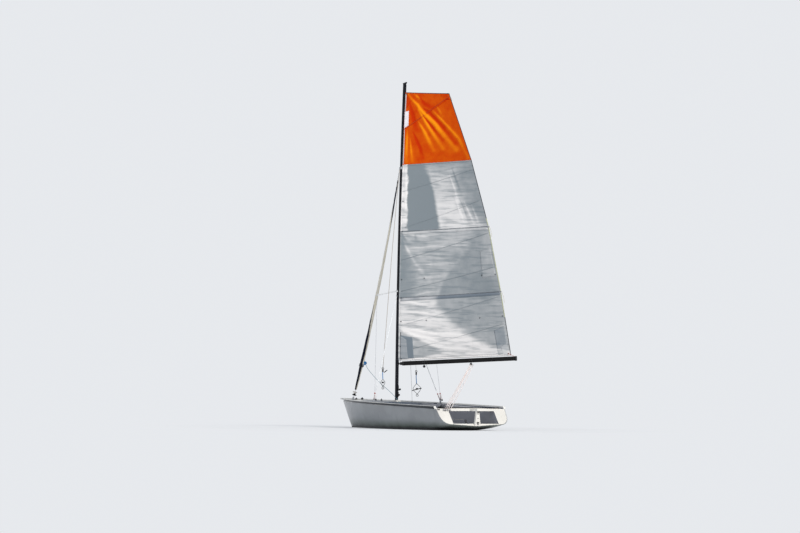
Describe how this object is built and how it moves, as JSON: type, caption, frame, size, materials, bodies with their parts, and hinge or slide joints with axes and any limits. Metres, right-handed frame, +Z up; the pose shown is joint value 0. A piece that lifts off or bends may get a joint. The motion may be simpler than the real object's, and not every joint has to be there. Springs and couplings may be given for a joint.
{
  "type": "sailing dinghy",
  "caption": "Open-transom sailing dinghy afloat with an orange-headed mainsail on a swung boom, a rolled jib, a bent black mast and a raised centreboard.",
  "frame": {"origin": "on the water surface, midships, on the hull's middle plane", "axes": "+X to the bow, +Y to port, +Z up"},
  "size_m": [4.459, 2.333, 6.8178],
  "materials": {
    "gelcoat_white": "weathered moulded gelcoat, satin",
    "deck_grey": "moulded non-slip floor, matt",
    "strake_white": "moulded edge strake, satin",
    "spar_black": "black anodised tube, satin",
    "fitting_black": "moulded fittings, satin",
    "stainless": "polished stainless steel",
    "jib_cloth": "rolled sailcloth",
    "sail_white": "woven polyester sailcloth",
    "sail_orange": "woven polyester sailcloth",
    "batten_tape": "batten pocket tape",
    "webbing": "woven webbing",
    "board_white": "moulded board, satin"
  },
  "bodies": {
    "hull": {"hull_moulding": "gelcoat_white", "bow_tank": "gelcoat_white", "side_tank_port": "gelcoat_white", "side_tank_starboard": "gelcoat_white", "cockpit_floor": "deck_grey", "transom_beam": "gelcoat_white", "gunwale_strake": "strake_white", "rudder_post": "gelcoat_white", "gudgeons": "stainless", "mainsheet_track": "stainless", "mainsheet_car": "fitting_black", "centreboard_case": "gelcoat_white", "centreboard_pin": "stainless", "mast_step": "fitting_black", "mast": "spar_black", "masthead_fitting": "fitting_black", "hounds_fitting": "stainless", "lower_tangs": "stainless", "spreaders": "spar_black", "shroud_port": "stainless", "shroud_starboard": "stainless", "lower_shrouds": "stainless", "chainplates": "stainless", "forestay": "stainless", "bow_fitting": "stainless", "furler_drum": "fitting_black", "furler_swivel": "fitting_black", "furled_jib": "jib_cloth", "gooseneck_bracket": "stainless", "hatch_covers": "fitting_black", "toe_straps": "webbing", "jib_tracks": "stainless", "mast_cleats": "fitting_black"},
    "boom_and_sail": {"boom": "spar_black", "boom_end_cap": "fitting_black", "boom_blocks": "fitting_black", "mainsail_lower": "sail_white", "mainsail_head": "sail_orange", "battens": "batten_tape"},
    "centreboard_blade": {"centreboard": "board_white"}
  },
  "joints": [
    {"name": "boom_swing", "type": "hinge", "parent": "hull", "child": "boom_and_sail", "pos_m": [0.32087, 0, 1.25], "axis": [-0.0271, 0, 0.9996], "range_deg": [-96, 23]},
    {"name": "centreboard_pivot", "type": "hinge", "parent": "hull", "child": "centreboard_blade", "pos_m": [0.09, 0, -0.018], "axis": [0, -1, 0], "range_deg": [0, 78]}
  ]
}
